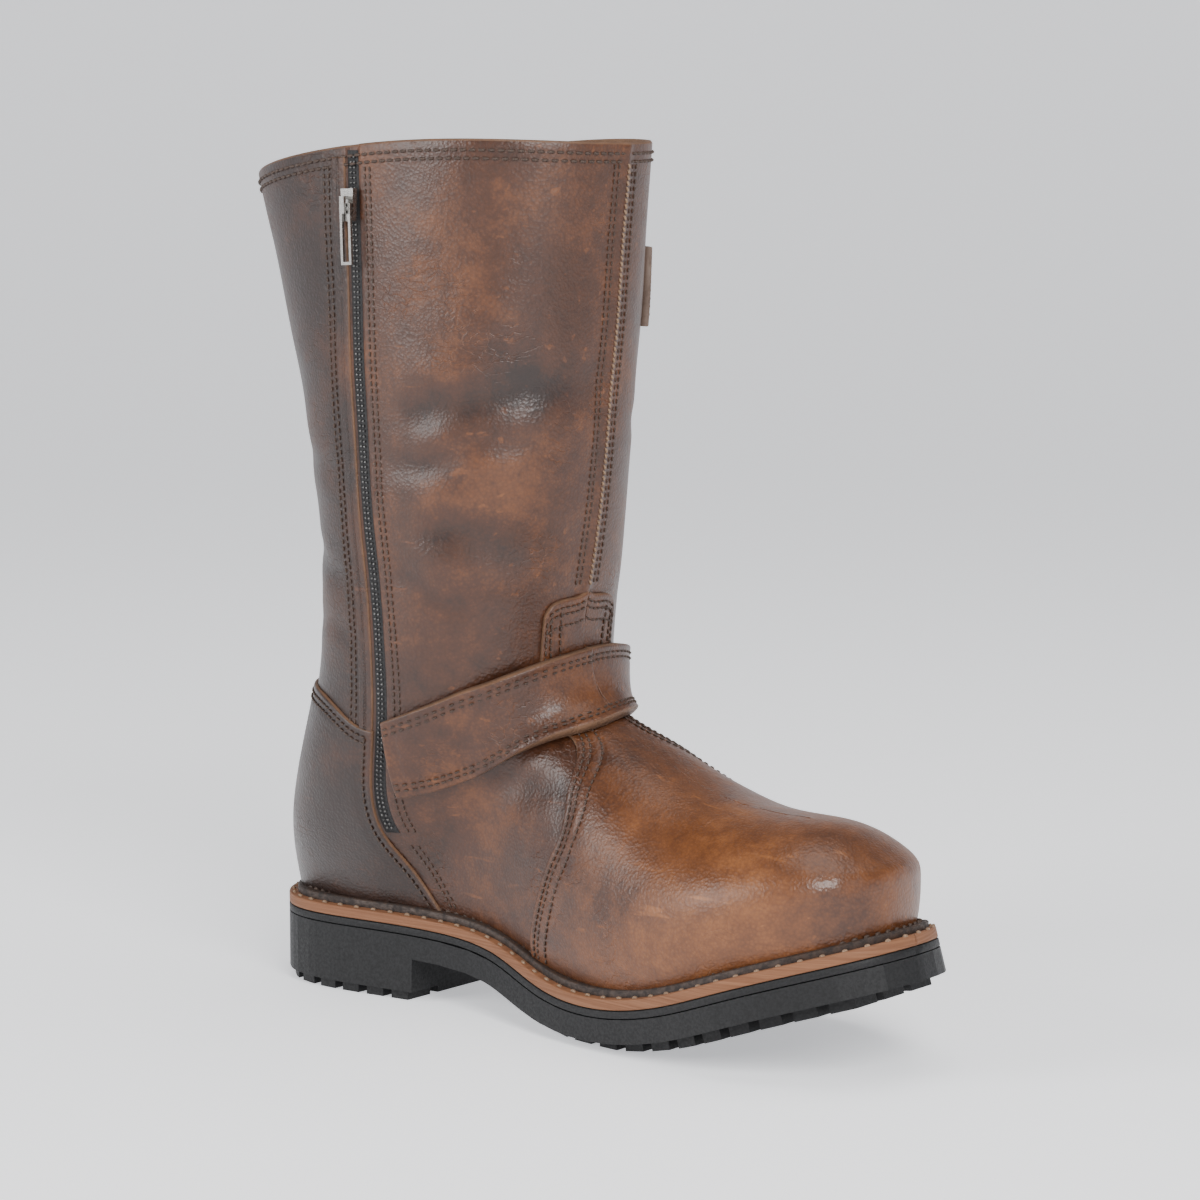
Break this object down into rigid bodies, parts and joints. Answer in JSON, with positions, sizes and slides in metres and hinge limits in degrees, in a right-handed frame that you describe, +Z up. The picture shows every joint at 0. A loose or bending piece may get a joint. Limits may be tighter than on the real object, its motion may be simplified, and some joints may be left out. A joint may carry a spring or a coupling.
{
  "type": "engineer boot",
  "caption": "Tall brown leather engineer boot for the left foot, with an instep strap and buckle, a shaft strap and a side zip.",
  "frame": {"origin": "on the floor, at the middle of the heel's tread", "axes": "+Z up, +X towards the toe, +Y towards the wearer's left, which is the outer side of this boot"},
  "size_m": [0.301, 0.1271, 0.3289],
  "materials": {
    "black_rubber": "matte, cut and moulded",
    "tan_leather": "cut edge, dry and fibrous",
    "dark_leather": "waxed, stitched",
    "brown_leather": "oiled, soft sheen, grained and scuffed",
    "zip_fabric": "woven tape",
    "nickel": "bright, lightly worn",
    "gunmetal": "dark, satin"
  },
  "bodies": {
    "boot": {"outsole": "black_rubber", "rubber_midsole": "black_rubber", "leather_midsole": "tan_leather", "welt": "dark_leather", "insole": "tan_leather", "upper": "brown_leather", "vamp": "brown_leather", "heel_counter": "brown_leather", "zip_tape": "zip_fabric", "instep_strap": "brown_leather", "instep_buckle": "nickel", "instep_strap_end": "brown_leather", "shaft_strap": "brown_leather", "shaft_buckle": "gunmetal", "shaft_strap_tab": "brown_leather", "zip_slider": "nickel"},
    "pull": {"zip_pull": "nickel"}
  },
  "joints": [
    {"name": "pull_swing", "type": "hinge", "parent": "boot", "child": "pull", "pos_m": [0.0419, -0.06113, 0.30553], "axis": [-0.9993, 0.0074, -0.0377], "range_deg": [0, 150]}
  ]
}
